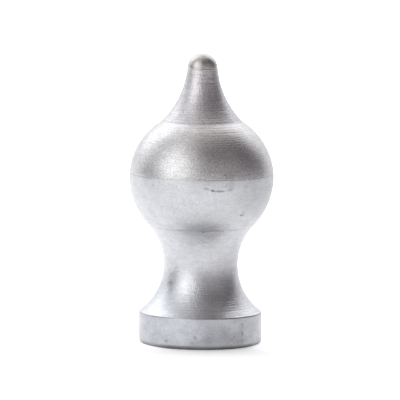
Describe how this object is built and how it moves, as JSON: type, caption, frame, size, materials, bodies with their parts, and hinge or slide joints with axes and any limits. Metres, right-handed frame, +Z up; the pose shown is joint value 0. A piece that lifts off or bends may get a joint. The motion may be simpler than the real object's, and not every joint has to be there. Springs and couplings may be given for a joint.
{
  "type": "fence spike",
  "caption": "Turned steel fence spike: a ball drawn up into a round-nosed point, on a waisted neck and a plain collar with a flat underside for welding to a post or bar.",
  "frame": {"origin": "centre of the flat underside of the collar", "axes": "+Z up along the turning axis, from the underside to the tip; the part is round, so +X and +Y are free"},
  "size_m": [0.035, 0.035, 0.0702],
  "materials": {
    "turned_steel": "bare mild steel as it left the lathe: fine turning grooves on the point, neck and ball, a smoother nose, and mottled mill skin on the collar"
  },
  "bodies": {
    "root": {"turned_finial": "turned_steel"}
  },
  "joints": []
}
